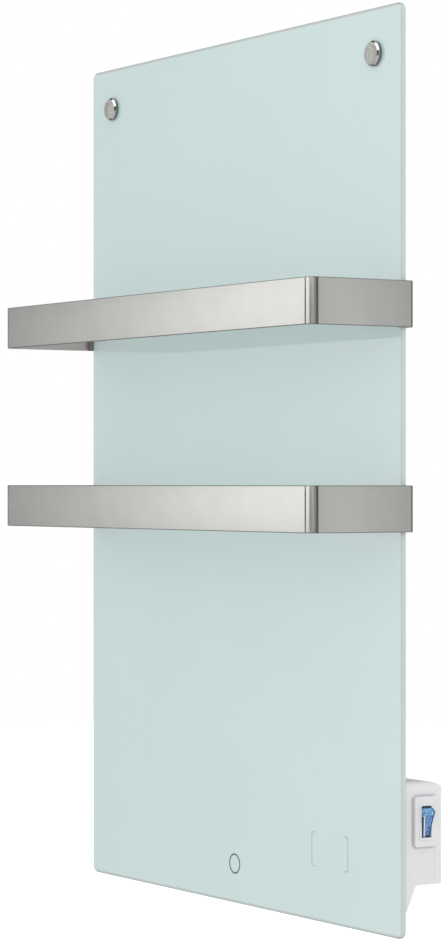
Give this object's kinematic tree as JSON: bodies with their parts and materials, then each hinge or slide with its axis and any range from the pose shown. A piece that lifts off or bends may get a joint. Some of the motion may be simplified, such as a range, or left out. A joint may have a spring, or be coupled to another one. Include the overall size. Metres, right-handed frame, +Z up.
{
  "type": "infrared panel heater",
  "caption": "Wall-hung infrared panel heater: pale glass panel with round caps, flat towel bars clamped on its edges, and a rear control box with a rocker switch.",
  "frame": {"origin": "on the wall plane, midway between the two wall screws of the wall rail", "axes": "+X to the viewer's right, +Y into the wall, +Z up; the glass faces -Y"},
  "size_m": [0.6128, 0.1655, 0.9],
  "materials": {
    "glass_enamel": "pale mint enamel behind polished toughened glass",
    "brushed_stainless": "brushed along its length",
    "cap_stainless": "brushed face with a polished chamfer",
    "plated_steel": "bright zinc plate",
    "galvanised_sheet": "hot-dip galvanised sheet with a faint spangle",
    "wall_rail_paint": "white powder coat",
    "white_abs": "moulded white ABS with a satin gloss",
    "base_abs": "moulded white ABS, fine grain",
    "blue_polycarbonate": "clear blue polycarbonate, gloss",
    "black_rubber": "matt moulded rubber",
    "clear_silicone": "translucent silicone",
    "nylon": "natural nylon",
    "grey_nylon": "light grey nylon",
    "foil": "etched heating foil",
    "mica": "pressed mica sheet",
    "mineral_fibre": "pressed mineral fibre",
    "foam_tape": "grey acrylic foam tape",
    "tinned_brass": "tinned brass",
    "black_phenolic": "black phenolic",
    "lamp_glass": "small clear lamp",
    "lead_brown": "brown silicone insulation",
    "lead_blue": "blue silicone insulation",
    "lead_green": "green insulation"
  },
  "bodies": {
    "heater": {"glass_panel": "glass_enamel", "cap_left": "cap_stainless", "cap_right": "cap_stainless", "cap_nuts": "plated_steel", "cover_screws": "plated_steel", "terminal_screws": "plated_steel", "earth_stud": "plated_steel", "earth_nut": "plated_steel", "rocker_pin": "plated_steel", "rear_tray": "galvanised_sheet", "hanger_rail": "galvanised_sheet", "wall_rail": "wall_rail_paint", "box_cover": "white_abs", "switch_body": "white_abs", "box_base": "base_abs", "spacer_left": "base_abs", "spacer_right": "base_abs", "spacer_tips": "black_rubber", "cap_rear_washers": "black_rubber", "tray_grommet": "black_rubber", "box_grommet": "black_rubber", "gland_seal": "black_rubber", "tray_seal": "clear_silicone", "cap_front_washers": "clear_silicone", "cap_bushes": "nylon", "terminal_block": "nylon", "cable_gland": "grey_nylon", "gland_nut": "grey_nylon", "gland_locknut": "grey_nylon", "heater_foil": "foil", "heater_backing": "mica", "insulation_board": "mineral_fibre", "box_tape": "foam_tape", "foil_crimps": "tinned_brass", "earth_tag": "tinned_brass", "switch_tabs": "tinned_brass", "thermal_cutout": "black_phenolic", "switch_lamp": "lamp_glass", "live_lead": "lead_brown", "switched_lead": "lead_brown", "cutout_jumper": "lead_brown", "neutral_lead": "lead_blue", "earth_lead": "lead_green"},
    "rocker": {"rocker": "blue_polycarbonate"},
    "upper_bar": {"upper_towel_bar": "brushed_stainless", "upper_bar_grips": "black_rubber", "upper_bar_set_screws": "plated_steel"},
    "lower_bar": {"lower_towel_bar": "brushed_stainless", "lower_bar_grips": "black_rubber", "lower_bar_set_screws": "plated_steel"}
  },
  "joints": [
    {"name": "rocker_tilt", "type": "hinge", "parent": "heater", "child": "rocker", "pos_m": [0.295, -0.0266, -0.7715], "axis": [0, -1, 0], "range_deg": [0, 40]},
    {"name": "upper_bar_slide", "type": "slide", "parent": "heater", "child": "upper_bar", "axis": [0, 0, 1], "range_m": [-0.06, 0.2]},
    {"name": "lower_bar_slide", "type": "slide", "parent": "heater", "child": "lower_bar", "axis": [0, 0, 1], "range_m": [-0.2, 0.06]}
  ]
}
